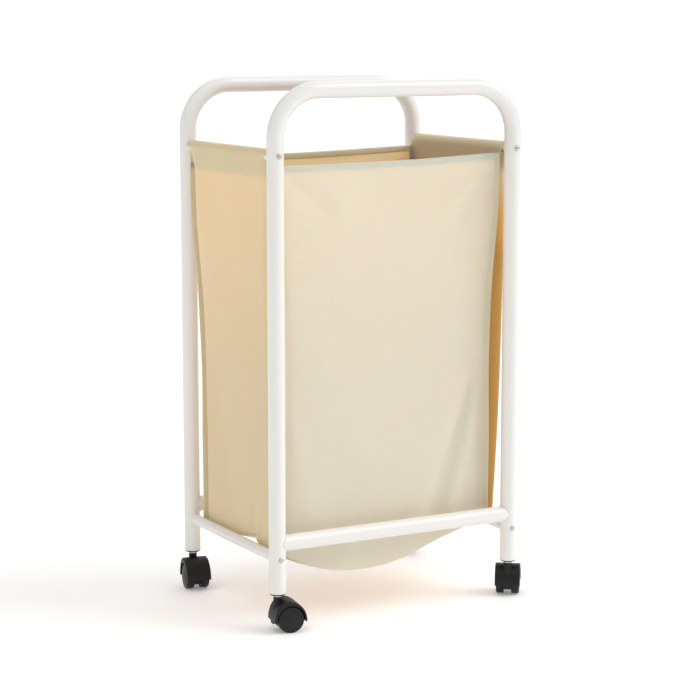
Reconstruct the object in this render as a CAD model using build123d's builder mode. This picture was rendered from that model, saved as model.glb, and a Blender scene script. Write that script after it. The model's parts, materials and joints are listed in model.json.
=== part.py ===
"""Laundry sorter on wheels: two bent tube hoops joined by four side rods, a hanging cloth bag
and four twin-wheel swivel casters.  Millimetres, +Z up, the front hoop faces -Y, and the
origin is on the floor under the middle of the frame."""
import os
from math import sqrt

from build123d import *

# ---- driving dimensions -------------------------------------------------------------------
SPAN_X = 404.0              # leg centre to leg centre within one hoop
SPAN_Y = 295.0              # front hoop to rear hoop
TUBE_D = 25.0               # hoop tube
TUBE_WALL = 1.2
BEND_R = 70.0               # hoop corners, on the tube's centre line
LEG_BOTTOM_Z = 58.0
HANDLE_Z = 792.0            # centre line of each hoop's top bar
RAIL_D = 24.0               # welded cross rail of each hoop
RAIL_Z = 132.0
ROD_D = 16.0                # the four side rods
ROD_WALL = 1.2
LOWER_ROD_Z = 110.0
UPPER_ROD_Z = 699.0

SCREW_D = 5.0
SCREW_LENGTH = 37.0
SCREW_HEAD_D = 8.6
SCREW_HEAD_H = 2.6
SCREW_RECESS = 1.5
HOLE_CLEARANCE = 0.4
NUT_LENGTH = 18.0           # threaded insert pressed into each rod end

SOCKET_LENGTH = 34.0        # plastic plug in each leg
SOCKET_FLANGE_D = 23.4
SOCKET_FLANGE_H = 2.0
STEM_D = 8.0
STEM_LENGTH = 30.0
STEM_COLLAR_D = 13.0
RUNNING_FIT = 0.08          # radial clearance of what turns

WHEEL_D = 40.0
WHEEL_W = 13.6
WHEEL_DOME = 1.8            # rise of the outer disc
WEB_W = 11.0                # caster body between the two wheels
WHEEL_GAP = 0.4             # wheel to web, each side
CASTER_TRAIL = 16.0         # stem axis to wheel axis
HOOD_W = 39.0
HOOD_TOP_Z = 48.5
HOOD_NOSE_X = -9.5          # stem side of the fender
HOOD_TAIL_X = 40.5          # tip of the fender past the wheels
HOOD_CROWN_X = 11.0         # highest point of the fender
HOOD_TAIL_Z = 17.0
HOOD_NOSE_Z = 13.0
WHEEL_ROOM = 1.4            # fender to tread
STEM_GRIP = 14.0            # how deep the stem is riveted into the hood
BOSS_D = 12.6               # plastic neck of the hood round the stem
BOSS_TOP_Z = 53.5
BOSS_FOOT_Z = 28.0
AXLE_D = 5.0

CLOTH = 2.0                 # thickness of the plain bag solids
SLEEVE_GAP = 0.4            # sleeve to rod
BAG_MOUTH_Y = 131.0         # front and back panel, half distance at the top
BAG_FLARE_Y = 12.0          # how far they lean in at their foot
BAG_HEM_Z = 687.0           # top edge of the front and back panel
BAG_SIDE_LINE = ((201.0, 640.0), (197.0, 475.0))    # (x, z) down each side panel
BAG_FOOT_X = 188.0
BAG_LEFT_FOOT_Z = 110.0     # where the side panels meet the bottom panel
BAG_RIGHT_FOOT_Z = 120.0
BAG_LOWEST = (-40.0, 76.0)  # (x, z) of the sagging bottom's lowest line
BAG_CORNER_GAP = 3.0

CORNERS = {                 # sign of x, sign of y, direction in which the caster trails
    "front_left": (-1, -1, -10.0),
    "front_right": (1, -1, 54.0),
    "rear_left": (-1, 1, -100.0),
    "rear_right": (1, 1, 110.0),
}

os.makedirs("parts", exist_ok=True)


def save(solid, name):
    """Label one finished piece and write its STEP file."""
    solid.label = name
    export_step(solid, f"parts/{name}.step")


# ---- frame --------------------------------------------------------------------------------
def hoop(side_y):
    """One leg, top bar and leg bent from a single tube, drilled for the rod screws."""
    y = side_y * SPAN_Y / 2
    half = SPAN_X / 2
    with BuildPart() as tube:
        with BuildLine(Plane.XZ.offset(-y)) as path:
            FilletPolyline((-half, LEG_BOTTOM_Z), (-half, HANDLE_Z), (half, HANDLE_Z),
                           (half, LEG_BOTTOM_Z), radius=BEND_R)
        with BuildSketch(Plane.XY.offset(LEG_BOTTOM_Z)) as section:
            with Locations((-half, y)):
                Circle(TUBE_D / 2)
                Circle(TUBE_D / 2 - TUBE_WALL, mode=Mode.SUBTRACT)
        sweep(path=path.line)
        with BuildSketch(Plane.XZ.offset(-y)) as holes:
            with Locations(*[(x, z) for x in (-half, half) for z in (LOWER_ROD_Z, UPPER_ROD_Z)]):
                Circle(SCREW_D / 2 + HOLE_CLEARANCE / 2)
        extrude(amount=TUBE_D, both=True, mode=Mode.SUBTRACT)
        feet = tube.edges().filter_by(GeomType.CIRCLE).group_by(Axis.Z)[0].sort_by(Edge.length)[-2:]
        fillet(feet, radius=TUBE_WALL * 0.7)
    return tube.part


def cross_rail(side_y):
    """The rail welded between a hoop's legs, its ends cut to the legs' round."""
    y = side_y * SPAN_Y / 2
    with BuildPart() as rail:
        with BuildSketch(Plane.YZ) as section:
            with Locations((y, RAIL_Z)):
                Circle(RAIL_D / 2)
                Circle(RAIL_D / 2 - TUBE_WALL, mode=Mode.SUBTRACT)
        extrude(amount=SPAN_X / 2, both=True)
        with Locations((-SPAN_X / 2, y, RAIL_Z), (SPAN_X / 2, y, RAIL_Z)):
            Cylinder(TUBE_D / 2, RAIL_D * 2, mode=Mode.SUBTRACT)
    return rail.part


def side_rod(side_x, z):
    """A rod from hoop to hoop, its ends cut to the legs' round."""
    x = side_x * SPAN_X / 2
    with BuildPart() as rod:
        with BuildSketch(Plane.XZ) as section:
            with Locations((x, z)):
                Circle(ROD_D / 2)
                Circle(ROD_D / 2 - ROD_WALL, mode=Mode.SUBTRACT)
        extrude(amount=SPAN_Y / 2, both=True)
        with Locations((x, -SPAN_Y / 2, z), (x, SPAN_Y / 2, z)):
            Cylinder(TUBE_D / 2, ROD_D * 2, mode=Mode.SUBTRACT)
    return rod.part


def rod_nuts():
    """A threaded insert in both ends of the four rods."""
    start = SPAN_Y / 2 - TUBE_D / 2 - 2.5
    spots = [(x * SPAN_X / 2, z) for x in (-1, 1) for z in (LOWER_ROD_Z, UPPER_ROD_Z)]
    with BuildPart() as nuts:
        for y in (-start, start - NUT_LENGTH):
            with BuildSketch(Plane.XZ.offset(-y)) as section:
                with Locations(*spots):
                    Circle(ROD_D / 2 - ROD_WALL)
                    Circle(SCREW_D / 2, mode=Mode.SUBTRACT)
            extrude(amount=-NUT_LENGTH)
    return nuts.part


def rod_screws(z):
    """Pan-head screws with a cross recess, one through each leg into its rod's insert."""
    seat = SPAN_Y / 2 + TUBE_D / 2
    with BuildPart() as screw:
        with BuildSketch(Plane.YZ) as profile:
            with BuildLine() as outline:
                dome = Line((0, 0), (0, -SCREW_HEAD_H))
                ThreePointArc(dome @ 1, (SCREW_HEAD_D * 0.36, -SCREW_HEAD_H * 0.78),
                              (SCREW_HEAD_D / 2, 0))
                Line((SCREW_HEAD_D / 2, 0), (SCREW_D / 2, 0))
                Polyline((SCREW_D / 2, 0), (SCREW_D / 2, SCREW_LENGTH - 1.5),
                         (SCREW_D / 2 - 1.5, SCREW_LENGTH), (0, SCREW_LENGTH), (0, 0))
            make_face()
        revolve(axis=Axis.Z)
        with BuildSketch(Plane.XY.offset(-SCREW_HEAD_H)) as recess:
            Rectangle(SCREW_HEAD_D * 0.52, 1.1)
            Rectangle(1.1, SCREW_HEAD_D * 0.52)
        extrude(amount=SCREW_RECESS, taper=14, mode=Mode.SUBTRACT)
    with BuildPart() as screws:
        for x in (-SPAN_X / 2, SPAN_X / 2):
            front = Plane(origin=(x, -seat, z), x_dir=(1, 0, 0), z_dir=(0, 1, 0))
            rear = Plane(origin=(x, seat, z), x_dir=(-1, 0, 0), z_dir=(0, -1, 0))
            with Locations(front, rear):
                add(screw.part)
    return screws.part


def leg_socket(sign_x, sign_y):
    """Plastic plug in the leg's foot that takes the caster's stem."""
    bore = STEM_D / 2 + RUNNING_FIT
    with BuildPart() as socket:
        with BuildSketch(Plane.XY.offset(LEG_BOTTOM_Z)) as plug:
            with Locations((sign_x * SPAN_X / 2, sign_y * SPAN_Y / 2)):
                Circle(TUBE_D / 2 - TUBE_WALL)
        extrude(amount=SOCKET_LENGTH)
        with BuildSketch(Plane.XY.offset(LEG_BOTTOM_Z)) as flange:
            with Locations((sign_x * SPAN_X / 2, sign_y * SPAN_Y / 2)):
                Circle(SOCKET_FLANGE_D / 2)
        extrude(amount=-SOCKET_FLANGE_H)
        fillet(socket.edges().group_by(Axis.Z)[0], radius=1.2)
        top = LEG_BOTTOM_Z + STEM_LENGTH
        with BuildSketch(Plane.XY.offset(LEG_BOTTOM_Z - SOCKET_FLANGE_H)) as hole:
            with Locations((sign_x * SPAN_X / 2, sign_y * SPAN_Y / 2)):
                Circle(bore)
        extrude(amount=top + 1.0 - LEG_BOTTOM_Z + SOCKET_FLANGE_H, mode=Mode.SUBTRACT)
        with BuildSketch(Plane.XY.offset(top - 6.0)) as groove:
            with Locations((sign_x * SPAN_X / 2, sign_y * SPAN_Y / 2)):
                Circle(bore + 1.0)
        extrude(amount=4.0, mode=Mode.SUBTRACT)
    return socket.part


# ---- casters: modelled with the stem on the Z axis and the wheels trailing to +X --------------
def caster_stem():
    """Steel stem: riveted end in the hood, collar under the socket, pin with a ring groove."""
    top = LEG_BOTTOM_Z + STEM_LENGTH
    collar_top = LEG_BOTTOM_Z - SOCKET_FLANGE_H - 0.3
    with BuildPart() as stem:
        with BuildSketch(Plane.XY.offset(HOOD_TOP_Z - STEM_GRIP)) as pin:
            Circle(STEM_D / 2)
        extrude(amount=top - HOOD_TOP_Z + STEM_GRIP)
        chamfer(stem.edges().group_by(Axis.Z)[-1], length=1.2)
        with BuildSketch(Plane.XY.offset(BOSS_TOP_Z)) as collar:
            Circle(STEM_COLLAR_D / 2)
        extrude(amount=collar_top - BOSS_TOP_Z)
        with BuildSketch(Plane.XY.offset(top - 5.0)) as groove:
            Circle(STEM_D / 2)
            Circle(STEM_D / 2 - 0.8, mode=Mode.SUBTRACT)
        extrude(amount=2.0, mode=Mode.SUBTRACT)
    return stem.part


def caster_ring():
    """Spring ring in the stem's groove that holds it in the socket."""
    with BuildPart() as ring:
        with BuildSketch(Plane.XY.offset(LEG_BOTTOM_Z + STEM_LENGTH - 4.9)) as section:
            Circle(STEM_D / 2 + 0.7)
            Circle(STEM_D / 2 - 0.8, mode=Mode.SUBTRACT)
            with Locations((STEM_D / 2, 0)):
                Rectangle(3.0, 2.2, mode=Mode.SUBTRACT)
        extrude(amount=1.8)
    return ring.part


def caster_hood():
    """Fender over both wheels, the web between them and the boss for the stem."""
    wheel_z = WHEEL_D / 2
    with BuildPart() as hood:
        with BuildSketch(Plane.XZ.offset(-HOOD_W / 2)) as fender:
            with BuildLine() as outline:
                rise = HOOD_TOP_Z - HOOD_TAIL_Z
                tail = EllipticalCenterArc((HOOD_CROWN_X, HOOD_TAIL_Z), HOOD_TAIL_X - HOOD_CROWN_X, rise,
                                           start_angle=0, arc_size=90)
                nose = EllipticalCenterArc((HOOD_CROWN_X, HOOD_TAIL_Z), HOOD_CROWN_X - HOOD_NOSE_X, rise,
                                           start_angle=90, arc_size=90)
                Polyline(nose @ 1, (HOOD_NOSE_X + 0.5, HOOD_NOSE_Z), tail @ 0)
            make_face()
        extrude(amount=HOOD_W)
        ends = hood.faces().filter_by(Axis.Y)
        rims = ends.edges().filter_by(lambda edge: edge.center().Z > wheel_z)
        fillet(rims, radius=2.2)
        with BuildSketch(Plane.XY.offset(BOSS_FOOT_Z)) as boss:
            Circle(BOSS_D / 2)
        extrude(amount=BOSS_TOP_Z - BOSS_FOOT_Z)
        cavity_r = WHEEL_D / 2 + WHEEL_ROOM
        for side in (-1, 1):
            with BuildSketch(Plane.XZ.offset(-side * WEB_W / 2)) as wheel_room:
                with Locations((CASTER_TRAIL, wheel_z)):
                    Circle(cavity_r)
                with Locations((CASTER_TRAIL + 1.0, wheel_z - cavity_r / 2 - 3.0)):
                    Rectangle(cavity_r * 2 + 12.0, cavity_r)
            extrude(amount=-side * HOOD_W, mode=Mode.SUBTRACT)
        with BuildSketch(Plane.XZ.offset(-WEB_W / 2)) as web_foot:
            with Locations((CASTER_TRAIL, wheel_z)):
                Circle(WHEEL_D / 2 - 5.0)
        extrude(amount=WEB_W)
        with BuildSketch(Plane.XZ.offset(-WEB_W / 2)) as axle_hole:
            with Locations((CASTER_TRAIL, wheel_z)):
                Circle(AXLE_D / 2)
        extrude(amount=WEB_W, mode=Mode.SUBTRACT)
        with BuildSketch(Plane.XY.offset(HOOD_TOP_Z - STEM_GRIP)) as stem_hole:
            Circle(STEM_D / 2)
        extrude(amount=BOSS_TOP_Z - HOOD_TOP_Z + STEM_GRIP, mode=Mode.SUBTRACT)
    return hood.part


def caster_axle():
    """Steel axle pressed into the web, one wheel on each end."""
    with BuildPart() as axle:
        with BuildSketch(Plane.XZ) as section:
            with Locations((CASTER_TRAIL, WHEEL_D / 2)):
                Circle(AXLE_D / 2)
        extrude(amount=WEB_W / 2 + WHEEL_W - 3.0, both=True)
    return axle.part


def caster_wheel(side):
    """One wheel: rounded tread, domed outer disc with a raised rim, blind bore for the axle."""
    inner = WEB_W / 2 + WHEEL_GAP
    outer = inner + WHEEL_W
    r = WHEEL_D / 2
    bore_r = AXLE_D / 2 + RUNNING_FIT
    disc_r = r - 4.0
    dome_r = (disc_r ** 2 + WHEEL_DOME ** 2) / (2 * WHEEL_DOME)
    halfway = sqrt(dome_r ** 2 - (disc_r / 2) ** 2)
    with BuildPart() as wheel:
        with BuildSketch(Plane.XY) as profile:
            with BuildLine() as outline:
                rim = Polyline((bore_r, inner), (r, inner), (r, outer - 1.0),
                               (disc_r, outer - WHEEL_DOME))
                ThreePointArc(rim @ 1, (disc_r / 2, outer - dome_r + halfway), (0, outer))
                Polyline((0, outer), (0, outer - 2.4), (bore_r, outer - 2.4), (bore_r, inner))
            make_face()
            tread = profile.vertices().group_by(Axis.X)[-1].sort_by(Axis.Y)
            fillet(tread[0], radius=1.5)
            fillet(profile.vertices().group_by(Axis.X)[-1].sort_by(Axis.Y)[-1], radius=2.2)
        revolve(axis=Axis.Y)
    turned = wheel.part if side > 0 else wheel.part.mirror(Plane.XZ)
    return Pos(CASTER_TRAIL, 0, r) * turned


# ---- bag: plain closed solids, open at the top ---------------------------------------------------
def end_panel(side_y):
    """Front or back panel, leaning in towards its foot, with the sagging lower edge."""
    inset = CLOTH / 2 + BAG_CORNER_GAP
    top_half = SPAN_X / 2 - ROD_D / 2 - SLEEVE_GAP - CLOTH - BAG_CORNER_GAP
    height = BAG_HEM_Z - BAG_LOWEST[1]
    lean = Vector(0, side_y * height, -BAG_FLARE_Y).normalized()
    face = Plane(origin=(0, side_y * BAG_MOUTH_Y, BAG_HEM_Z), x_dir=(side_y, 0, 0), z_dir=-lean)
    down = -1 if face.y_dir.Z > 0 else 1

    def on_face(x, z):
        return side_y * x, down * (BAG_HEM_Z - z)

    upper, middle = [(x - inset, z) for x, z in BAG_SIDE_LINE]
    foot = BAG_FOOT_X - inset
    with BuildPart() as panel:
        with BuildSketch(face) as outline:
            with BuildLine() as edge:
                Polyline(on_face(-foot, BAG_LEFT_FOOT_Z), on_face(-middle[0], middle[1]),
                         on_face(-upper[0], upper[1]), on_face(-top_half, BAG_HEM_Z),
                         on_face(top_half, BAG_HEM_Z), on_face(*upper), on_face(*middle),
                         on_face(foot, BAG_RIGHT_FOOT_Z))
                ThreePointArc(on_face(foot, BAG_RIGHT_FOOT_Z), on_face(*BAG_LOWEST),
                              on_face(-foot, BAG_LEFT_FOOT_Z))
            make_face()
        extrude(amount=CLOTH)
    return panel.part


def side_panel(side_x):
    """Left or right panel: a sleeve round the upper rod and the cloth that hangs from it."""
    inner = ROD_D / 2 + SLEEVE_GAP
    outer = inner + CLOTH
    half_top = BAG_MOUTH_Y - 1.0
    half_foot = BAG_MOUTH_Y - BAG_FLARE_Y - BAG_CORNER_GAP
    start_z = UPPER_ROD_Z - inner
    foot_z = BAG_LEFT_FOOT_Z if side_x < 0 else BAG_RIGHT_FOOT_Z
    fall = [(SPAN_X / 2, start_z), *BAG_SIDE_LINE, (BAG_FOOT_X, foot_z)]
    with BuildPart() as panel:
        with BuildSketch(Plane.XZ) as section:
            with Locations((side_x * SPAN_X / 2, UPPER_ROD_Z)):
                Circle(outer)
            with BuildLine() as edge:
                Polyline(*[(side_x * (x + CLOTH / 2), z) for x, z in fall],
                         *[(side_x * (x - CLOTH / 2), z) for x, z in reversed(fall)], close=True)
            make_face()
            with Locations((side_x * SPAN_X / 2, UPPER_ROD_Z)):
                Circle(inner, mode=Mode.SUBTRACT)
        extrude(amount=half_top, both=True)
        with BuildSketch(Plane.YZ) as taper_cut:
            with BuildLine() as limits:
                shoulder = UPPER_ROD_Z - outer
                Polyline((-half_top, HANDLE_Z), (half_top, HANDLE_Z), (half_top, shoulder),
                         (half_foot, foot_z), (-half_foot, foot_z), (-half_top, shoulder),
                         close=True)
            make_face()
        extrude(amount=SPAN_X, both=True, mode=Mode.INTERSECT)
    return panel.part


def bottom_panel():
    """The bottom of the bag, hanging in a shallow curve between the side panels."""
    half = BAG_FOOT_X - CLOTH / 2 - BAG_CORNER_GAP
    depth = BAG_MOUTH_Y - BAG_FLARE_Y - BAG_CORNER_GAP - CLOTH
    left, right = (-half, BAG_LEFT_FOOT_Z), (half, BAG_RIGHT_FOOT_Z)
    with BuildPart() as bottom:
        with BuildSketch(Plane.XZ) as section:
            with BuildLine() as outline:
                ThreePointArc(left, BAG_LOWEST, right)
                Line(right, (right[0], right[1] + CLOTH))
                ThreePointArc((right[0], right[1] + CLOTH), (BAG_LOWEST[0], BAG_LOWEST[1] + CLOTH),
                              (left[0], left[1] + CLOTH))
                Line((left[0], left[1] + CLOTH), left)
            make_face()
        extrude(amount=depth, both=True)
    return bottom.part


# ---- write every piece ---------------------------------------------------------------------------
for name, side in (("front", -1), ("rear", 1)):
    save(hoop(side), f"{name}_hoop")
    save(cross_rail(side), f"{name}_lower_rail")

for name, side in (("left", -1), ("right", 1)):
    save(side_rod(side, LOWER_ROD_Z), f"{name}_lower_side_rod")
    save(side_rod(side, UPPER_ROD_Z), f"{name}_upper_side_rod")
    save(side_panel(side), f"bag_{name}_panel")

save(end_panel(-1), "bag_front_panel")
save(end_panel(1), "bag_back_panel")
save(bottom_panel(), "bag_bottom_panel")
save(rod_nuts(), "rod_end_nuts")
save(rod_screws(UPPER_ROD_Z), "upper_rod_screws")
save(rod_screws(LOWER_ROD_Z), "lower_rod_screws")

CASTER_PIECES = {
    "stem": caster_stem(),
    "grip_ring": caster_ring(),
    "hood": caster_hood(),
    "axle": caster_axle(),
    "left_wheel": caster_wheel(1),
    "right_wheel": caster_wheel(-1),
}
for corner, (sign_x, sign_y, heading) in CORNERS.items():
    save(leg_socket(sign_x, sign_y), f"{corner}_leg_socket")
    place = Pos(sign_x * SPAN_X / 2, sign_y * SPAN_Y / 2, 0) * Rot(0, 0, heading)
    for piece, solid in CASTER_PIECES.items():
        save(place * solid, f"{corner}_caster_{piece}")
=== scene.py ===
# %% [markdown]
# # A laundry hamper on wheels
#
# Two hoops of white tube stand on four twin-wheel casters. A cotton bag hangs between them
# from two side rods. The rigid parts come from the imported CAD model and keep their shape.
# This lesson gives them real finishes and sews the bag that hangs in the frame.

import json
import math

import bpy
import numpy as np
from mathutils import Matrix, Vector, noise


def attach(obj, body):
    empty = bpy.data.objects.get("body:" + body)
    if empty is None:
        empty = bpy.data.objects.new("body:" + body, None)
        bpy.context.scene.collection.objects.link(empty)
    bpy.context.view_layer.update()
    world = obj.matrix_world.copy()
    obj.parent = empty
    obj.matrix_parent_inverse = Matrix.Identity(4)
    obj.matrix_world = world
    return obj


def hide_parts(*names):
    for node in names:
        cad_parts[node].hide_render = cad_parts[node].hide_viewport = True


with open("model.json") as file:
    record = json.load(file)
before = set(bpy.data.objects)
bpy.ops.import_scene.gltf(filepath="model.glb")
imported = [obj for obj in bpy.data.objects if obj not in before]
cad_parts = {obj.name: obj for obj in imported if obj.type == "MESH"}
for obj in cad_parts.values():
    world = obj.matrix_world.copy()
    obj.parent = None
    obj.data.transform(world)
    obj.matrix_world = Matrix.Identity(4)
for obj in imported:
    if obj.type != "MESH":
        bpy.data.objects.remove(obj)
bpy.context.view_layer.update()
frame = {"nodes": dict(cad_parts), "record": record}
MM = 0.001

# %% [markdown]
# ## Camera
#
# The hamper is seen from its front left corner, a little above the middle, through a long
# lens. A long lens keeps the legs nearly parallel, as in a catalogue view. The camera is
# aimed along a direction, so that its place follows from one distance.

# %% Place the camera
HEADING = math.radians(-29.15)
TILT = math.radians(8.92)
DISTANCE = 3.262
AIM_ASIDE, AIM_HEIGHT = 0.002, 0.384
ahead = Vector((-math.sin(HEADING) * math.cos(TILT), math.cos(HEADING) * math.cos(TILT),
                -math.sin(TILT)))
aside = Vector((math.cos(HEADING), math.sin(HEADING), 0))
aim = aside * AIM_ASIDE + Vector((0, 0, AIM_HEIGHT))

camera_data = bpy.data.cameras.new("camera")
camera_data.sensor_width = 36
camera_data.lens = 108
camera = bpy.data.objects.new("camera", camera_data)
camera.location = aim - ahead * DISTANCE
camera.rotation_euler = ahead.to_track_quat("-Z", "Y").to_euler()
bpy.context.scene.collection.objects.link(camera)
bpy.context.scene.camera = camera
print("camera at", [round(c, 3) for c in camera.location])

# %% [markdown]
# ## Nodes by hand
#
# Every finish below is a small tree of shader nodes. One helper adds a node and fills or
# links its sockets in a single call, which keeps each recipe short enough to read.

# %% A helper for node trees
def add_node(tree, kind, inputs=None, **settings):
    """Add a node, set its properties, and fill or link its inputs."""
    made = tree.nodes.new(kind)
    for key, value in settings.items():
        setattr(made, key, value)
    for key, value in (inputs or {}).items():
        if isinstance(value, bpy.types.NodeSocket):
            tree.links.new(value, made.inputs[key])
        else:
            made.inputs[key].default_value = value
    return made


def effect_group(name, inputs, outputs):
    """An empty shader group with named sockets, and its two end nodes."""
    tree = bpy.data.node_groups.new(name, "ShaderNodeTree")
    for socket, kind, value in inputs:
        made = tree.interface.new_socket(socket, in_out="INPUT", socket_type="NodeSocket" + kind)
        if value is not None:
            made.default_value = value
    for socket, kind in outputs:
        tree.interface.new_socket(socket, in_out="OUTPUT", socket_type="NodeSocket" + kind)
    return tree, add_node(tree, "NodeGroupInput").outputs, add_node(tree, "NodeGroupOutput").inputs


# %% [markdown]
# ## Effects that several finishes share
#
# Powder coat, moulded plastic, plated steel and cloth all have a fine relief and a slow
# change of tone. One group makes both from noise, at a size that each finish sets for
# itself. A second group draws woven threads from the cloth's own flat coordinates.

# %% Group: fine relief and slow tone
relief, given, result = effect_group(
    "fine_relief", [("Vector", "Vector", None), ("Grain Size", "Float", 0.001),
                    ("Patch Size", "Float", 0.1), ("Low", "Float", 0.0), ("High", "Float", 1.0)],
    [("Height", "Float"), ("Patch", "Float"), ("Value", "Float")])
grain_scale = add_node(relief, "ShaderNodeMath", {0: 1.0, 1: given["Grain Size"]},
                       operation="DIVIDE")
patch_scale = add_node(relief, "ShaderNodeMath", {0: 1.0, 1: given["Patch Size"]},
                       operation="DIVIDE")
grain = add_node(relief, "ShaderNodeTexNoise",
                 {"Vector": given["Vector"], "Scale": grain_scale.outputs[0],
                  "Detail": 3.0, "Roughness": 0.55})
patch = add_node(relief, "ShaderNodeTexNoise",
                 {"Vector": given["Vector"], "Scale": patch_scale.outputs[0],
                  "Detail": 4.0, "Roughness": 0.6})
spread = add_node(relief, "ShaderNodeMapRange",
                  {"Value": patch.outputs[0], "From Min": 0.3, "From Max": 0.7,
                   "To Min": given["Low"], "To Max": given["High"]})
relief.links.new(grain.outputs[0], result["Height"])
relief.links.new(patch.outputs[0], result["Patch"])
relief.links.new(spread.outputs[0], result["Value"])

# %% Group: woven threads
weave, given, result = effect_group(
    "woven_threads", [("Flat", "Vector", None), ("Pitch", "Float", 0.0007)],
    [("Height", "Float"), ("Slub", "Float")])
turns = add_node(weave, "ShaderNodeMath", {0: math.tau, 1: given["Pitch"]}, operation="DIVIDE")
stretched = add_node(weave, "ShaderNodeVectorMath",
                     {0: given["Flat"], "Scale": turns.outputs[0]}, operation="SCALE")
axes = add_node(weave, "ShaderNodeSeparateXYZ", {0: stretched.outputs[0]})
warp = add_node(weave, "ShaderNodeMath", {0: axes.outputs[0]}, operation="SINE")
weft = add_node(weave, "ShaderNodeMath", {0: axes.outputs[1]}, operation="SINE")
crossing = add_node(weave, "ShaderNodeMath", {0: warp.outputs[0], 1: weft.outputs[0]},
                    operation="MULTIPLY")
ACROSS_THREAD, ALONG_THREAD = 900.0, 22.0
long_thread = add_node(weave, "ShaderNodeMapping",
                       {0: given["Flat"], "Scale": (ACROSS_THREAD, ALONG_THREAD, 1.0)})
cross_thread = add_node(weave, "ShaderNodeMapping",
                        {0: given["Flat"], "Scale": (ALONG_THREAD, ACROSS_THREAD, 1.0)})
slub_a = add_node(weave, "ShaderNodeTexNoise",
                  {"Vector": long_thread.outputs[0], "Scale": 1.0, "Detail": 1.0})
slub_b = add_node(weave, "ShaderNodeTexNoise",
                  {"Vector": cross_thread.outputs[0], "Scale": 1.0, "Detail": 1.0})
slub = add_node(weave, "ShaderNodeMath", {0: slub_a.outputs[0], 1: slub_b.outputs[0]},
                operation="ADD")
half_slub = add_node(weave, "ShaderNodeMath", {0: slub.outputs[0], 1: 0.5}, operation="MULTIPLY")
height = add_node(weave, "ShaderNodeMath",
                  {0: crossing.outputs[0], 1: 0.35, 2: half_slub.outputs[0]},
                  operation="MULTIPLY_ADD")
weave.links.new(height.outputs[0], result["Height"])
weave.links.new(half_slub.outputs[0], result["Slub"])
print("effect groups:", relief.name, weave.name)


# %% [markdown]
# ## Finishes of the rigid parts
#
# The tubes are powder coated: a thick white paint with a soft gloss and the faint ripple
# of orange peel. The screws, stems and axles are zinc plated. Hoods, sockets and wheels
# are black plastic with a moulded grain. Each finish is a Principled shader whose colour,
# roughness and bump come from the relief group with its own sizes.

# %% Finishes for metal and plastic
def finish(name, low, high, rough, grain_size, patch_size, bump, metallic=0.0, coat=0.0,
           specular=0.5):
    """A hard finish: tone between two colours, roughness between two values, a grain."""
    made = bpy.data.materials.new(name)
    made.use_nodes = True
    tree = made.node_tree
    shader = tree.nodes["Principled BSDF"]
    place = add_node(tree, "ShaderNodeTexCoord")
    fine = add_node(tree, "ShaderNodeGroup", {}, node_tree=relief)
    tree.links.new(place.outputs["Object"], fine.inputs["Vector"])
    for socket, value in (("Grain Size", grain_size), ("Patch Size", patch_size),
                          ("Low", rough[0]), ("High", rough[1])):
        fine.inputs[socket].default_value = value
    tone = add_node(tree, "ShaderNodeMix",
                    {"Factor": fine.outputs["Patch"], "A": (*low, 1), "B": (*high, 1)},
                    data_type="RGBA")
    ripple = add_node(tree, "ShaderNodeBump", {"Height": fine.outputs["Height"],
                                               "Strength": bump, "Distance": grain_size})
    tree.links.new(tone.outputs["Result"], shader.inputs["Base Color"])
    tree.links.new(fine.outputs["Value"], shader.inputs["Roughness"])
    tree.links.new(ripple.outputs[0], shader.inputs["Normal"])
    shader.inputs["Metallic"].default_value = metallic
    shader.inputs["Specular IOR Level"].default_value = specular
    shader.inputs["Coat Weight"].default_value = coat
    shader.inputs["Coat Roughness"].default_value = 0.12
    return made


FINISHES = {
    "white_powder_coat": finish("white_powder_coat_finish", (0.84, 0.825, 0.79),
                                (0.88, 0.865, 0.83), (0.28, 0.36), 0.003, 0.25, 0.03, coat=0.2),
    "zinc_steel": finish("zinc_steel_finish", (0.50, 0.50, 0.48), (0.68, 0.68, 0.66),
                         (0.22, 0.42), 0.0006, 0.004, 0.10, metallic=1.0),
    "black_plastic": finish("black_plastic_finish", (0.008,) * 3, (0.018,) * 3,
                            (0.34, 0.50), 0.0007, 0.02, 0.16, specular=0.25),
    "wheel_plastic": finish("wheel_plastic_finish", (0.008,) * 3, (0.022,) * 3,
                            (0.30, 0.52), 0.0009, 0.012, 0.12, specular=0.25),
}
slot_of = {part["node"]: part["material_slot"] for part in frame["record"]["subparts"]}
for name, cad_object in frame["nodes"].items():
    if slot_of[name] in FINISHES:
        cad_object.data.materials.clear()
        cad_object.data.materials.append(FINISHES[slot_of[name]])
print("finished rigid parts:", sum(slot in FINISHES for slot in slot_of.values()))

# %% [markdown]
# ## Cotton
#
# The bag is thin unbleached cotton. Seen close, threads cross every 0.7 mm, and some are
# thicker, which gives fine streaks both ways. Subsurface scattering softens the shading.
# Real cotton glows warm where light comes through it. Here that warm tone is painted, with
# a "warmth" value on the mesh: a little on the sides, hems and fins, and up to a deep gold
# on the front edge of the right panel. A painted tone costs nothing and stays controllable,
# but unlike real light it looks the same from every side.

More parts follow.
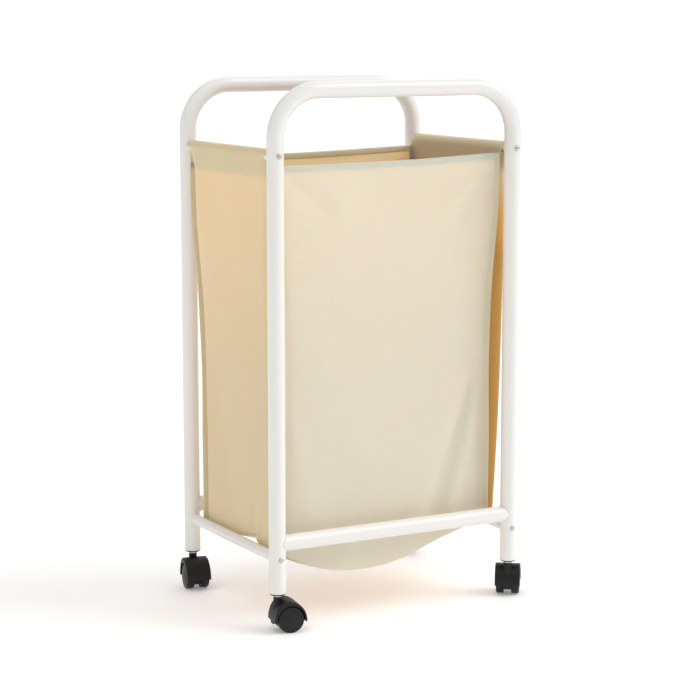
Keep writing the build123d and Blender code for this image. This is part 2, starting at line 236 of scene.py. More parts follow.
# %% Finishes for cloth and thread
cotton = bpy.data.materials.new("cotton_cloth_finish")
cotton.use_nodes = True
tree = cotton.node_tree
shader = tree.nodes["Principled BSDF"]
flat = add_node(tree, "ShaderNodeUVMap", uv_map="flat")
threads = add_node(tree, "ShaderNodeGroup", {}, node_tree=weave)
tree.links.new(flat.outputs[0], threads.inputs["Flat"])
threads.inputs["Pitch"].default_value = 0.0007
place = add_node(tree, "ShaderNodeTexCoord")
soft = add_node(tree, "ShaderNodeGroup", {}, node_tree=relief)
tree.links.new(place.outputs["Object"], soft.inputs["Vector"])
for socket, value in (("Grain Size", 0.018), ("Patch Size", 0.16), ("Low", 0.84), ("High", 0.94)):
    soft.inputs[socket].default_value = value
painted_warm_light = add_node(tree, "ShaderNodeAttribute", attribute_name="painted_warm_light")
DULL_COTTON, PALE_COTTON = (0.89, 0.715, 0.575, 1), (0.93, 0.795, 0.64, 1)
THICK_THREAD = (0.86, 0.675, 0.52, 1)
# painted light: these two tones stand in for warm light shining through the cloth
PAINTED_WARM_LIGHT_TONE, PAINTED_GOLD_LIGHT_TONE = (0.80, 0.45, 0.12, 1), (0.50, 0.28, 0.065, 1)
plain = add_node(tree, "ShaderNodeMix",
                 {"Factor": soft.outputs["Patch"], "A": DULL_COTTON, "B": PALE_COTTON},
                 data_type="RGBA")
streaked = add_node(tree, "ShaderNodeMix",
                    {"Factor": threads.outputs["Slub"], "A": plain.outputs["Result"],
                     "B": THICK_THREAD}, data_type="RGBA")
# painted warm light up to 1 mixes towards the warm light tone, and from 1 to 2 on towards the gold
# light tone; both tones stand in for light that comes through the cloth
with_painted_light = add_node(tree, "ShaderNodeMix",
                  {"Factor": painted_warm_light.outputs["Fac"], "A": streaked.outputs["Result"],
                   "B": PAINTED_WARM_LIGHT_TONE}, data_type="RGBA")
depth = add_node(tree, "ShaderNodeMath", {0: painted_warm_light.outputs["Fac"], 1: 1.0},
                 operation="SUBTRACT", use_clamp=True)
with_painted_gold = add_node(tree, "ShaderNodeMix",
                  {"Factor": depth.outputs[0], "A": with_painted_light.outputs["Result"],
                   "B": PAINTED_GOLD_LIGHT_TONE}, data_type="RGBA")
cloth_bump = add_node(tree, "ShaderNodeBump", {"Height": threads.outputs["Height"],
                                               "Strength": 0.22, "Distance": 0.0003})
rumple = add_node(tree, "ShaderNodeBump", {"Height": soft.outputs["Height"], "Strength": 0.10,
                                           "Distance": 0.003, "Normal": cloth_bump.outputs[0]})
tree.links.new(with_painted_gold.outputs["Result"], shader.inputs["Base Color"])
tree.links.new(soft.outputs["Value"], shader.inputs["Roughness"])
tree.links.new(rumple.outputs[0], shader.inputs["Normal"])
shader.inputs["Subsurface Weight"].default_value = 0.7
shader.inputs["Subsurface Radius"].default_value = (1.0, 0.55, 0.25)
shader.inputs["Subsurface Scale"].default_value = 0.005
shader.inputs["Sheen Weight"].default_value = 0.15
shader.inputs["Sheen Roughness"].default_value = 0.5
thread = finish("sewing_thread_finish", (0.80, 0.70, 0.54), (0.88, 0.79, 0.63), (0.5, 0.65),
                0.0004, 0.01, 0.3)
print("soft finishes:", cotton.name, thread.name)


# %% [markdown]
# ## The bag's lines
#
# The bag has two side panels that hang from the rods by a sleeve, a front and a back
# panel sewn between them, and a bottom. The front and back are narrower than the space
# between the rods, so the seams are drawn in below the sleeves while the sides stay out.
# Each line is given by a few points and a smooth curve runs through them. All the
# panels read the same seam lines, so their edges meet.

# %% Smooth lines through a few points
def smooth(knots, at):
    """Value of a smooth line through (position, value) knots, the positions rising."""
    where, value = np.array(sorted(knots), float).T
    slope = np.gradient(value, where)
    i = np.clip(np.searchsorted(where, at) - 1, 0, len(where) - 2)
    gap = where[i + 1] - where[i]
    t = np.clip((at - where[i]) / gap, 0, 1)
    keep, move = 2 * t ** 3 - 3 * t ** 2 + 1, t ** 3 - 2 * t ** 2 + t
    arrive = t ** 3 - t ** 2
    return (keep * value[i] + move * gap * slope[i] + (1 - keep) * value[i + 1]
            + arrive * gap * slope[i + 1])


# The bag is widest at the mouth, narrowest at the waist and a little wider at the foot.
# Half widths in mm at these heights, chosen round, with a smooth line between them.
HEIGHTS = (100, 300, 450, 600, 690)
SEAM_X = {("left", "front"): (183, 178, 181, 191, 195),
          ("right", "front"): (173, 168, 168, 179, 181),
          ("left", "rear"): (187, 183, 186, 196, 198),
          ("right", "rear"): (180, 175, 177, 184, 186)}
SEAM_X = {corner: list(zip(HEIGHTS, half)) for corner, half in SEAM_X.items()}
SEAM_Y = list(zip(HEIGHTS, (117, 121, 123, 128, 131)))
SIDE_X = {"left": list(zip(HEIGHTS, (191, 192, 195, 203, 202))),
          "right": list(zip(HEIGHTS, (194, 203, 206, 205, 202)))}
SIGN = {"left": -1, "right": 1, "front": -1, "rear": 1}


def seam(side, end, z):
    """Seam point at height z, in mm."""
    return SIGN[side] * smooth(SEAM_X[side, end], z), SIGN[end] * smooth(SEAM_Y, z)


# (place across the panel, height), only where the edge turns
HEM_TOP = {"front": [(-195, 682), (40, 685), (190, 691)],
           "rear": [(-195, 684), (-40, 683), (185, 689)]}
FOOT = {"front": [(-190, 106), (-130, 80), (-85, 70), (20, 73), (100, 98), (175, 117)],
        "rear": [(-190, 108), (0, 90), (180, 118)],
        "left": [(-120, 104), (-75, 110), (-52, 122), (-20, 115), (10, 110), (120, 107)],
        "right": [(-120, 117), (0, 122), (120, 118)]}
print("seam lines:", len(SEAM_X), "foot lines:", len(FOOT))


# %% [markdown]
# ## Folds
#
# Thin cloth that hangs from its corners has long shallow folds, which run from a corner
# into the panel, and a loose rumple. A fold is a line with a width and a depth. Its
# section is a soft bell, and it fades in and out along its length.

# %% Folds on a panel
FOLDS = {
    "front": [((184, 676), (112, 596), 9, -2.6), ((176, 684), (96, 606), 10, 2.0),
              ((-184, 672), (-96, 604), 14, -2.6), ((-150, 676), (-60, 600), 22, 1.6),
              ((150, 350), (72, 128), 15, -6.5), ((162, 330), (104, 128), 14, 4.6),
              ((128, 250), (20, 84), 20, 2.4), ((20, 150), (22, 60), 7, -3.0),
              ((-60, 150), (-84, 66), 12, 2.2), ((-178, 330), (-120, 110), 20, 1.8)],
    "rear": [((-184, 676), (-100, 590), 12, -2.6), ((180, 676), (100, 596), 12, -2.4),
             ((-150, 340), (-80, 110), 18, -3.5), ((140, 300), (70, 100), 18, 3.0),
             ((0, 160), (-6, 80), 9, -2.5)],
    "left": [((-64, 150), (-60, 112), 4, 5.0), ((-54, 175), (-52, 112), 7, -4.0),
             ((-96, 640), (-40, 470), 22, -2.2), ((100, 640), (60, 420), 26, 2.0),
             ((60, 330), (20, 130), 24, -2.4), ((100, 300), (96, 130), 12, 1.8)],
    "right": [((-96, 640), (-50, 450), 22, -2.4), ((96, 620), (50, 400), 24, 2.2),
              ((40, 330), (10, 130), 24, -2.6), ((-80, 280), (-60, 130), 18, 2.0)],
}


def fold_depth(panel, along, z, seed):
    """How far the cloth stands out of its plane, in mm, at (along, z) on a panel."""
    out = np.zeros_like(z)
    for start, end, width, depth in FOLDS[panel]:
        run = np.array(end, float) - start
        length = np.hypot(*run)
        t = ((along - start[0]) * run[0] + (z - start[1]) * run[1]) / length ** 2
        aside = ((along - start[0]) * run[1] - (z - start[1]) * run[0]) / length
        fade = np.clip(np.minimum(t + 0.08, 1.1 - t) * 5, 0, 1)
        fade = fade * fade * (3 - 2 * fade)
        out += depth * fade * np.exp(-(aside / (width * (0.7 + 0.5 * np.clip(t, 0, 1)))) ** 2)
    rumple = [0.9 * noise.noise(Vector((a / 70, h / 110, seed)))
              + 0.35 * noise.noise(Vector((a / 26, h / 40, seed + 9)))
              for a, h in zip(along.ravel(), z.ravel())]
    return out + np.array(rumple).reshape(z.shape)


# %% [markdown]
# ## From rows of points to cloth
#
# Each panel is a grid of points. The same helper turns any grid into a mesh, gives it the
# flat coordinates that the weave follows, and stores the painted warm light that stands in
# for light through the cloth. Solidify then gives the cloth its thickness, and one
# subdivision rounds it.

# %% Grid to mesh
CLOTH_THICKNESS = 0.9 * MM


def cloth_mesh(name, points, painted_light_level):
    """A mesh from points[row, column] in mm, with flat UVs in metres."""
    rows, columns = points.shape[:2]
    place = points * MM
    across = np.linalg.norm(np.diff(place, axis=1), axis=2)
    down = np.linalg.norm(np.diff(place, axis=0), axis=2)
    u = np.concatenate([[0], np.cumsum(across.mean(axis=0))])
    v = np.concatenate([[0], np.cumsum(down.mean(axis=1))])
    index = np.arange(rows * columns).reshape(rows, columns)
    faces = np.stack([index[:-1, :-1], index[1:, :-1], index[1:, 1:], index[:-1, 1:]],
                     axis=-1).reshape(-1, 4)
    mesh = bpy.data.meshes.new(name)
    mesh.from_pydata(place.reshape(-1, 3).tolist(), [], faces.tolist())
    uv = mesh.uv_layers.new(name="flat")
    grid_u, grid_v = np.tile(u, rows), np.repeat(v, columns)
    corner = np.array([loop.vertex_index for loop in mesh.loops])
    uv.data.foreach_set("uv", np.stack([grid_u[corner], grid_v[corner]], axis=1).ravel())
    # painted warm light of every point, a tone that stands in for light through the cloth
    tone = mesh.attributes.new("painted_warm_light", "FLOAT", "POINT")
    tone.data.foreach_set("value", np.asarray(painted_light_level, float).ravel())
    mesh.polygons.foreach_set("use_smooth", [True] * len(mesh.polygons))
    mesh.materials.append(cotton)
    piece = bpy.data.objects.new(name, mesh)
    bpy.context.scene.collection.objects.link(piece)
    print(name, "grid", rows, "x", columns, "flat", round(float(u[-1]), 3), "x",
          round(float(v[-1]), 3))
    return piece


def thicken(piece):
    """Cloth thickness, then one subdivision."""
    wall = piece.modifiers.new("thickness", "SOLIDIFY")
    wall.thickness = CLOTH_THICKNESS
    wall.offset = 0
    round_off = piece.modifiers.new("rounding", "SUBSURF")
    round_off.levels = round_off.render_levels = 1


# %% [markdown]
# ## Fins
#
# At each corner the two panels are sewn together with the margins outwards, as a thin
# double fin that stands off the corner at about 45 degrees. Each panel carries its own
# layer of the fin as extra columns past the seam.

# %% Fin columns past a seam
FIN_LINE = math.radians(45)
FIN_LENGTH = [(100, 10), (300, 11.5), (450, 11), (600, 9.5), (655, 9), (690, 8)]


def fin(side, end, z, share, layer):
    """Point on the corner's fin. share runs from 0 at the seam to 1 at the raw edge."""
    x, y = seam(side, end, z)
    reach = share * smooth(FIN_LENGTH, z) + share * 0.5 * np.sin(z / 31.0)
    sx, sy = SIGN[side], SIGN[end]
    apart = 0.55 * min(1.0, share * 4)
    if layer == "side":
        apart = -apart
    x = x + sx * math.cos(FIN_LINE) * reach - sx * math.sin(FIN_LINE) * apart
    y = y + sy * math.sin(FIN_LINE) * reach + sy * math.cos(FIN_LINE) * apart
    return x, y


FIN_SHARES = (1.0, 0.66, 0.33)
FIN_COLUMNS = len(FIN_SHARES)

# %% [markdown]
# ## Front and back panels
#
# Each is one sheet with a narrow hem folded to the inside at the top. It hangs from its
# two upper corners, runs down along the seams and ends in a curved lower edge, because
# the bottom of the bag sags. Near a seam the cloth dips before it turns out into the fin.

# %% Sew the front and back panels
COLUMNS, ROWS = 44, 64
HEM_DEPTH = 9.0
HEM_ROWS = 4
# painted warm light on the back panel, the hems and the fins, where light comes through the cloth;
# the front panel has none
END_PAINTED_LIGHT = {"front": 0.0, "rear": 0.12}
HEM_PAINTED_LIGHT, END_FIN_PAINTED_LIGHT = 0.35, 0.22


def end_panel(end):
    """Points of the front or back panel, row by row from the folded hem down."""
    out = SIGN[end]
    share = np.linspace(0, 1, COLUMNS + 1)
    share = share - 0.055 * np.sin(math.tau * share)
    rough_x = np.interp(share, [0, 1], [-190, 184])
    top, low = smooth(HEM_TOP[end], rough_x), smooth(FOOT[end], rough_x)
    fall = np.linspace(0, 1, ROWS + 1) ** 0.96
    z = top[None, :] * (1 - fall[:, None]) + low[None, :] * fall[:, None]
    left_x, left_y = seam("left", end, z)
    right_x, right_y = seam("right", end, z)
    x = left_x + (right_x - left_x) * share
    y = left_y + (right_y - left_y) * share
    from_seam = np.minimum(x - left_x, right_x - x)
    belly = smooth([(60, 3.0), (200, 5.0), (420, 4.0), (600, 1.5), (690, -1.5)], z)
    lift = belly * (1 - np.abs(2 * share - 1) ** 2.4)
    folds = fold_depth(end, x, z, 3.0 if end == "front" else 7.0)
    lift = lift + folds * np.clip(from_seam / 22, 0, 1)
    lift = lift - 2.2 * np.exp(-((from_seam - 6) / 5) ** 2) * np.clip((686 - z) / 60, 0, 1)
    y = y + out * lift
    body = np.stack([x, y, z], axis=-1)
    hem = []
    for drop, inward in ((HEM_DEPTH, 1.7), (HEM_DEPTH / 2, 1.6), (0.6, 1.5), (-0.5, 0.75)):
        row = body[0].copy()
        row[:, 1] -= out * inward
        row[:, 2] -= drop
        hem.append(row)
    body = np.concatenate([np.array(hem), body])
    edges = {}
    for side in ("left", "right"):
        strips = []
        for reach in FIN_SHARES:
            edge = body[:, 0 if side == "left" else -1].copy()
            fx, fy = fin(side, end, edge[:, 2], reach, "end")
            sx, sy = seam(side, end, edge[:, 2])
            edge[:, 0] += fx - sx
            edge[:, 1] += fy - sy
            strips.append(edge)
        edges[side] = np.array(strips)
    right = edges["right"][::-1]
    return np.concatenate([edges["left"].transpose(1, 0, 2), body, right.transpose(1, 0, 2)],
                          axis=1)


panel_points = {}
for end, painted_light_level in END_PAINTED_LIGHT.items():
    grid = end_panel(end)
    if end == "front":
        grid = grid[:, ::-1]
    panel_points[end] = grid
    # painted warm light, point by point
    painted_light_map = np.full(grid.shape[:2], painted_light_level)
    painted_light_map[:2] = HEM_PAINTED_LIGHT
    painted_light_map[:, :FIN_COLUMNS] = painted_light_map[:, -FIN_COLUMNS:] = END_FIN_PAINTED_LIGHT
    panel_points[end + "_tint"] = painted_light_map

# %% [markdown]
# ## Side panels
#
# A side panel starts at the stitch line below the rod, goes up inside, over the rod and
# down outside to the same stitch line, and hangs from there to its foot. Its section from
# front to rear is nearly straight, but at both ends it wraps in to the seam.

# %% Sew the side panels
STITCH_Z = 666.0
ROD_X, ROD_Z, LOOP_R = 202.0, 699.0, 9.1
SLEEVE_END_Y = 132.6
STRAIGHT_ROWS, ARC_ROWS = 5, 11            # rows of the sleeve: up inside, over the rod, down
SLEEVE_ROWS = STRAIGHT_ROWS + ARC_ROWS + STRAIGHT_ROWS
FIN_TOP_Z = 690.0
END_STEPS = np.array([0, 0.9, 1.8, 2.9, 4.4, 6.5, 9.5, 14, 20])
END_WRAP = np.array([1, 0.80, 0.60, 0.42, 0.27, 0.15, 0.07, 0.02, 0])
WRAP_POWER = {"left": 0.6, "right": 2.5}   # low is a round corner, high a square one
MIDDLE_COLUMNS = 22


def across_side(side, half_front, half_rear):
    """y of every column, and how much of the way to the seam each one is drawn in."""
    pull = END_WRAP ** WRAP_POWER[side]
    front, rear = -half_front + END_STEPS, half_rear - END_STEPS[::-1]
    middle = np.linspace(front[-1], rear[0], MIDDLE_COLUMNS + 1)[1:-1]
    y = np.concatenate([front, middle, rear])
    none = np.zeros(len(middle) + len(END_STEPS))
    return y, np.concatenate([pull, none]), np.concatenate([none, pull[::-1]])


def side_panel(side):
    """Points of a side panel, row by row from the inner stitch line over the rod and down."""
    out = SIGN[side]
    loop = []
    stitch_x = smooth(SIDE_X[side], STITCH_Z)
    for t in np.linspace(0, 1, STRAIGHT_ROWS + 1)[:-1]:
        loop.append((ROD_X - LOOP_R + (1 - t) * (stitch_x - 0.7 - ROD_X + LOOP_R),
                     STITCH_Z + t * (ROD_Z - STITCH_Z), "inner"))
    for angle in np.radians(np.linspace(180, 0, ARC_ROWS)):
        loop.append((ROD_X + LOOP_R * math.cos(angle), ROD_Z + LOOP_R * math.sin(angle), "over"))
    for t in np.linspace(0, 1, STRAIGHT_ROWS + 1)[1:]:
        loop.append((ROD_X + LOOP_R + t * (stitch_x + 0.7 - ROD_X - LOOP_R),
                     ROD_Z - t * (ROD_Z - STITCH_Z), "outer"))
    rows = []
    for x0, z0, layer in loop:
        ease = min(1.0, max(0.0, (ROD_Z - z0) / (ROD_Z - STITCH_Z)))
        half = SLEEVE_END_Y + (smooth(SEAM_Y, STITCH_Z) - SLEEVE_END_Y) * ease ** 1.5
        y, wrap_front, wrap_rear = across_side(side, half, half)
        reach = {"inner": ease ** 0.5, "over": 0.0, "outer": min(1.0, ease * 3)}[layer]
        x = np.full_like(y, x0)
        for end, wrap in (("front", wrap_front), ("rear", wrap_rear)):
            x += reach * wrap * (smooth(SEAM_X[side, end], max(z0, 640)) - x0)
        dip = 0.5 * np.sin(y / 19.0) * ease
        rows.append(np.stack([out * (x + dip), y, np.full_like(y, z0)], axis=-1))
    foot_y, _, _ = across_side(side, 119, 119)
    foot = smooth(FOOT[side], foot_y)
    for fall in np.linspace(0, 1, ROWS + 1)[1:]:
        z = STITCH_Z + (foot - STITCH_Z) * fall
        half = smooth(SEAM_Y, z)
        y0, wrap_front, wrap_rear = across_side(side, 120, 120)
        y = y0 * half / 120
        x = smooth(SIDE_X[side], z)
        billow = smooth([(100, 0), (200, 2.5), (420, 3.5), (600, 1.5), (655, 0)], z)
        folds = fold_depth(side, y, z, 11.0 if side == "left" else 15.0)
        x = x + billow * (1 - (y / half) ** 2) + folds * np.clip((half - np.abs(y)) / 30, 0, 1)
        for end, wrap in (("front", wrap_front), ("rear", wrap_rear)):
            x = x + wrap * (smooth(SEAM_X[side, end], z) - x)
        rows.append(np.stack([out * x, y, z], axis=-1))
    body = np.array(rows)
    strips = {}
    for end in ("front", "rear"):
        made = []
        for reach in FIN_SHARES:
            edge = body[:, 0 if end == "front" else -1].copy()
            fx, fy = fin(side, end, np.minimum(edge[:, 2], FIN_TOP_Z), reach, "side")
            sx, sy = seam(side, end, np.minimum(edge[:, 2], FIN_TOP_Z))
            held = np.clip((FIN_TOP_Z - edge[:, 2]) / 20, 0, 1)
            edge[:, 0] += (fx - sx) * held
            edge[:, 1] += (fy - sy) * held + SIGN[end] * (1 - held) * reach * 0.4
            made.append(edge)
        strips[end] = np.array(made)
    return np.concatenate([strips["front"].transpose(1, 0, 2), body,
                           strips["rear"][::-1].transpose(1, 0, 2)], axis=1)


# painted warm light on the side panels, more on the sleeves and fins, where light comes through
# the cloth
SIDE_PAINTED_LIGHT = {"left": 0.42, "right": 0.30}
SLEEVE_PAINTED_LIGHT, SLEEVE_INSIDE_PAINTED_LIGHT, SIDE_FIN_PAINTED_LIGHT = 0.48, 0.36, 0.50
INSIDE_ROWS = 9                            # sleeve rows that face the inside of the bag
PAINTED_GOLD_LEVEL = 1.9
PAINTED_GOLD_FADE = np.array([1, 1, 1, 1, 0.8, 0.5, 0.25, 0.1])   # column by column from the seam
for side, painted_light_level in SIDE_PAINTED_LIGHT.items():
    grid = side_panel(side)
    painted_light_map = np.full(grid.shape[:2], painted_light_level)
    painted_light_map[:SLEEVE_ROWS] = SLEEVE_PAINTED_LIGHT
    painted_light_map[:INSIDE_ROWS] = SLEEVE_INSIDE_PAINTED_LIGHT
    painted_light_map[:, :FIN_COLUMNS] = painted_light_map[:, -FIN_COLUMNS:] = SIDE_FIN_PAINTED_LIGHT
    # painted gold light down the front edge of the right panel, where backlight shines through the
    # cloth
    if side == "right":
        painted_gold = np.clip(np.linspace(0.3, 7.0, len(painted_light_map) - SLEEVE_ROWS), painted_light_level, PAINTED_GOLD_LEVEL) - painted_light_level
        edge_columns = slice(FIN_COLUMNS, FIN_COLUMNS + len(PAINTED_GOLD_FADE))
        painted_light_map[SLEEVE_ROWS:, edge_columns] += painted_gold[:, None] * PAINTED_GOLD_FADE
    if side == "left":
        grid, painted_light_map = grid[:, ::-1], painted_light_map[:, ::-1]
    panel_points[side], panel_points[side + "_tint"] = grid, painted_light_map

# %% [markdown]
# ## Bottom
#
# The bottom is sewn to the lower edges of all four panels and takes its shape from them.
# A blend of the four edges gives its inner points, and a little extra sag its weight.

# %% Sew the bottom
def bottom_panel():
    """Points of the bottom, a blend between the four lower edges."""
    across = np.linspace(0, 1, 37)
    along = np.linspace(0, 1, 27)
    corner = {}
    for end in ("front", "rear"):
        for side in ("left", "right"):
            low = FOOT[end][0 if side == "left" else -1][1]
            corner[side, end] = np.array([*seam(side, end, low), low])
    edge = {}
    for end in ("front", "rear"):
        a, b = corner["left", end], corner["right", end]
        line = a + (b - a) * across[:, None]
        line[:, 2] = smooth(FOOT[end], line[:, 0]) + 2.5
        line[:, 1] -= SIGN[end] * 1.2
        edge[end] = line
    for side in ("left", "right"):
        a, b = corner[side, "front"], corner[side, "rear"]
        line = a + (b - a) * along[:, None]
        line[:, 0] = SIGN[side] * (smooth(SIDE_X[side], line[:, 2]) - 1.0)
        line[0, 0], line[-1, 0] = a[0], b[0]
        line[:, 2] = smooth(FOOT[side], line[:, 1])
        line[0, 2], line[-1, 2] = a[2], b[2]
        edge[side] = line
    u, v = across[None, :, None], along[:, None, None]
    blend = (edge["front"][None] * (1 - v) + edge["rear"][None] * v
             + edge["left"][:, None] * (1 - u) + edge["right"][:, None] * u)
    blend -= ((corner["left", "front"] * (1 - u) + corner["right", "front"] * u) * (1 - v)
              + (corner["left", "rear"] * (1 - u) + corner["right", "rear"] * u) * v)
    blend[..., 2] -= 5.0 * (np.sin(math.pi * u) * np.sin(math.pi * v))[..., 0]
    return blend


panel_points["bottom"] = bottom_panel()[::-1]
# painted warm light on the bottom as well
panel_points["bottom_tint"] = np.full(panel_points["bottom"].shape[:2], 0.25)
bag = {}
for name in ("front", "rear", "left", "right", "bottom"):
    bag[name] = cloth_mesh("bag_" + {"rear": "back"}.get(name, name), panel_points[name],
                           panel_points[name + "_tint"])
    thicken(bag[name])

# %% [markdown]
# ## Stitches and weld beads
#
# Stitches repeat along a line, and so do the ripples of a weld. Both come from one
# Geometry Nodes tree: it walks along a path, puts a small bead every so often, turns it
# along the path, and varies its size a little from a fixed seed.

# %% A Geometry Nodes tree for beads along a path
beads = bpy.data.node_groups.new("beads_on_path", "GeometryNodeTree")
for socket, kind, value in (("Geometry", "Geometry", None), ("Spacing", "Float", 0.003),
                            ("Length", "Float", 0.002), ("Width", "Float", 0.0005),
                            ("Unevenness", "Float", 0.1), ("Seed", "Int", 1),
                            ("Material", "Material", None)):
    made = beads.interface.new_socket(socket, in_out="INPUT", socket_type="NodeSocket" + kind)
    if value is not None:
        made.default_value = value
beads.interface.new_socket("Geometry", in_out="OUTPUT", socket_type="NodeSocketGeometry")
given = add_node(beads, "NodeGroupInput").outputs
path = add_node(beads, "GeometryNodeMeshToCurve", {"Mesh": given["Geometry"]})
marks = add_node(beads, "GeometryNodeResampleCurve",
                 {"Curve": path.outputs[0], "Length": given["Spacing"]}, mode="LENGTH")
ball = add_node(beads, "GeometryNodeMeshUVSphere", {"Segments": 6, "Rings": 4, "Radius": 0.5})
size = add_node(beads, "ShaderNodeCombineXYZ",
                {0: given["Width"], 1: given["Width"], 2: given["Length"]})
shaped = add_node(beads, "GeometryNodeTransform",
                  {"Geometry": ball.outputs[0], "Scale": size.outputs[0]})
tangent = add_node(beads, "GeometryNodeInputTangent")
turned = add_node(beads, "FunctionNodeAlignRotationToVector", {"Vector": tangent.outputs[0]},
                  axis="Z")
small = add_node(beads, "ShaderNodeMath", {0: 1.0, 1: given["Unevenness"]},
                 operation="SUBTRACT")
vary = add_node(beads, "FunctionNodeRandomValue",
                {2: small.outputs[0], 3: 1.0, "Seed": given["Seed"]}, data_type="FLOAT")
placed = add_node(beads, "GeometryNodeInstanceOnPoints",
                  {"Points": marks.outputs[0], "Instance": shaped.outputs[0],
                   "Rotation": turned.outputs[0], "Scale": vary.outputs[1]})
real = add_node(beads, "GeometryNodeRealizeInstances", {"Geometry": placed.outputs[0]})
dressed = add_node(beads, "GeometryNodeSetMaterial",
                   {"Geometry": real.outputs[0], "Material": given["Material"]})
smoothed = add_node(beads, "GeometryNodeSetShadeSmooth", {"Geometry": dressed.outputs[0]})
add_node(beads, "NodeGroupOutput", {"Geometry": smoothed.outputs[0]})
SOCKETS = {item.name: item.identifier for item in beads.interface.items_tree
           if item.item_type == "SOCKET" and item.in_out == "INPUT"}


def beads_along(name, paths, **values):
    """One plain mesh of beads along several paths, each a list of points in mm."""
    points, edges = [], []
    for line in paths:
        start = len(points)
        points += [tuple(float(c) * MM for c in p) for p in line]
        edges += [(i, i + 1) for i in range(start, len(points) - 1)]
    mesh = bpy.data.meshes.new(name + "_path")
    mesh.from_pydata(points, edges, [])
    carrier = bpy.data.objects.new(name + "_path", mesh)
    bpy.context.scene.collection.objects.link(carrier)
    made = carrier.modifiers.new("beads", "NODES")
    made.node_group = beads
    for key, value in values.items():
        made[SOCKETS[key]] = value
    graph = bpy.context.evaluated_depsgraph_get()
    result = bpy.data.meshes.new_from_object(carrier.evaluated_get(graph))
    bpy.data.objects.remove(carrier)
    piece = bpy.data.objects.new(name, result)
    bpy.context.scene.collection.objects.link(piece)
    print(name, "paths", len(paths), "faces", len(result.polygons))
    return piece


# %% Stitches on the bag
OFF = 0.62                                 # how far a stitch stands off the middle of the cloth
FIN_STITCH_SHARE = 0.42                    # where on the fin its stitch line runs
END_GAP = 5                                # columns left free at both ends of a side's lines
stitch_paths = []
for end in ("front", "rear"):
    grid, o = panel_points[end], SIGN[end]
    n = grid.shape[1]
    body = grid[HEM_ROWS:]
    hem_z = body[0, :, 2] - HEM_DEPTH + 1.2
    line = []
    for c in range(FIN_COLUMNS, n - FIN_COLUMNS):
        x, y, z = body[::-1, c].T
        line.append((np.interp(hem_z[c], z, x), np.interp(hem_z[c], z, y) + o * OFF, hem_z[c]))
    stitch_paths.append(line)
    stitch_paths.append([(p[0], p[1] + o * OFF, p[2] + 4.0)
                         for p in body[-1, FIN_COLUMNS:-FIN_COLUMNS]])
    for side in ("left", "right"):
        z = np.linspace(130, 676, 140)
        for layer, shift in (("end", 1.0), ("side", -1.0)):
            fx, fy = fin(side, end, z, FIN_STITCH_SHARE, layer)
            fx = fx - SIGN[side] * math.sin(FIN_LINE) * OFF * shift
            fy = fy + o * math.cos(FIN_LINE) * OFF * shift
            stitch_paths.append(np.stack([fx, fy, z], axis=-1))
for side in ("left", "right"):
    grid, o = panel_points[side], SIGN[side]
    for row, away, up in ((SLEEVE_ROWS, OFF, -1.0), (0, -OFF, 1.5), (-1, OFF, 4.0)):
        stitch_paths.append([(p[0] + o * away, p[1], p[2] + up)
                             for p in grid[row, END_GAP:-END_GAP]])
stitches = beads_along("bag_stitches", stitch_paths, Spacing=3.1 * MM, Length=2.5 * MM,
                       Width=0.55 * MM, Unevenness=0.15, Seed=4, Material=thread)

# %% Weld beads at the ends of the cross rails
RAIL_R, LEG_R, RAIL_Z, LEG_X, LEG_Y = 12.0, 12.5, 132.0, 202.0, 147.5
weld_paths = []
for side in (-1, 1):
    for end in (-1, 1):
        ring = []
        for angle in np.linspace(0, math.tau, 61):
            across, up = RAIL_R * math.cos(angle), RAIL_R * math.sin(angle)
            inset = math.sqrt(LEG_R ** 2 - across ** 2)
            ring.append((side * (LEG_X - inset - 0.35), end * LEG_Y + across * 1.02,
                         RAIL_Z + up * 1.02))
        weld_paths.append(ring)
welds = beads_along("rail_weld_beads", weld_paths, Spacing=1.25 * MM, Length=1.9 * MM,
                    Width=2.0 * MM, Unevenness=0.25, Seed=9,
                    Material=FINISHES["white_powder_coat"])

# %% [markdown]
# ## Room and light
#
# A pale floor under an even sky, with one soft sun from the right and two weaker ones from
# the left and from behind, leaves only a faint shadow round the casters. Two tricks make
# the surroundings white without washing out the hamper: the floor gives off a little light
# of its own, and the sky looks brighter to the camera than it shines on the object.

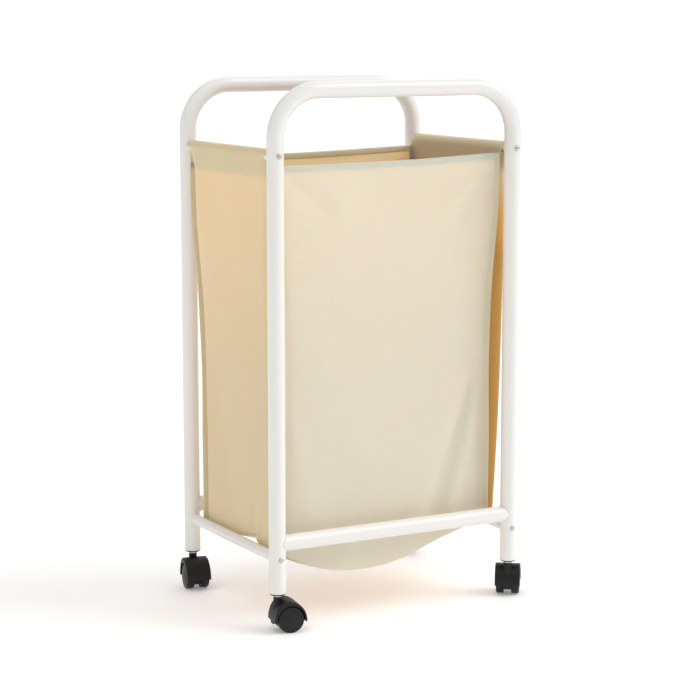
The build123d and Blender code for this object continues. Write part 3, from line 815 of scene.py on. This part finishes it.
# %% Floor, sky and lamps
floor_mesh = bpy.data.meshes.new("floor")
FLOOR = 9
floor_mesh.from_pydata([(-FLOOR, -FLOOR, 0), (FLOOR, -FLOOR, 0), (FLOOR, FLOOR, 0),
                        (-FLOOR, FLOOR, 0)], [], [(0, 1, 2, 3)])
floor = bpy.data.objects.new("floor", floor_mesh)
bpy.context.scene.collection.objects.link(floor)
floor_finish = finish("floor_finish", (0.955,) * 3, (0.97,) * 3, (0.7, 0.8), 0.02, 0.8, 0.02)
lit = floor_finish.node_tree.nodes["Principled BSDF"]
lit.inputs["Emission Color"].default_value = (1, 1, 1, 1)
lit.inputs["Emission Strength"].default_value = 0.16
floor_mesh.materials.append(floor_finish)

SKY, SKY_EXTRA_SEEN = 0.48, 0.6
world = bpy.data.worlds.new("studio")
bpy.context.scene.world = world
world.use_nodes = True
world.node_tree.nodes["Background"].inputs["Color"].default_value = (1, 1, 1, 1)
seen = add_node(world.node_tree, "ShaderNodeLightPath")
strength = add_node(world.node_tree, "ShaderNodeMath",
                    {0: seen.outputs["Is Camera Ray"], 1: SKY_EXTRA_SEEN, 2: SKY},
                    operation="MULTIPLY_ADD")
world.node_tree.links.new(strength.outputs[0],
                          world.node_tree.nodes["Background"].inputs["Strength"])


def soft_sun(name, towards, strength, spread):
    """A far lamp, seen in the direction given, with a soft edge to its shadows."""
    data = bpy.data.lights.new(name, "SUN")
    data.energy, data.angle = strength, math.radians(spread)
    lamp = bpy.data.objects.new(name, data)
    lamp.rotation_euler = (-Vector(towards)).to_track_quat("-Z", "Y").to_euler()
    bpy.context.scene.collection.objects.link(lamp)


soft_sun("key", (0.80, -0.50, 0.75), 1.48, 45)
soft_sun("fill", (-0.60, -0.15, 0.95), 0.60, 60)
soft_sun("rim", (0.55, 0.80, 0.75), 0.6, 60)
bpy.context.scene.view_settings.view_transform = "Standard"

# %% [markdown]
# ## Hand over
#
# Every piece rides on the frame body. The cloth panels stand for the plain bag solids,
# and each one says how large its cloth was before it was hung.

# %% Bodies and sheets
BAG_NODES = {"front": "bag_front_panel", "rear": "bag_back_panel", "left": "bag_left_panel",
             "right": "bag_right_panel", "bottom": "bag_bottom_panel"}
for name, piece in bag.items():
    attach(piece, "frame")
    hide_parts(BAG_NODES[name])
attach(stitches, "frame")
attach(welds, "frame")
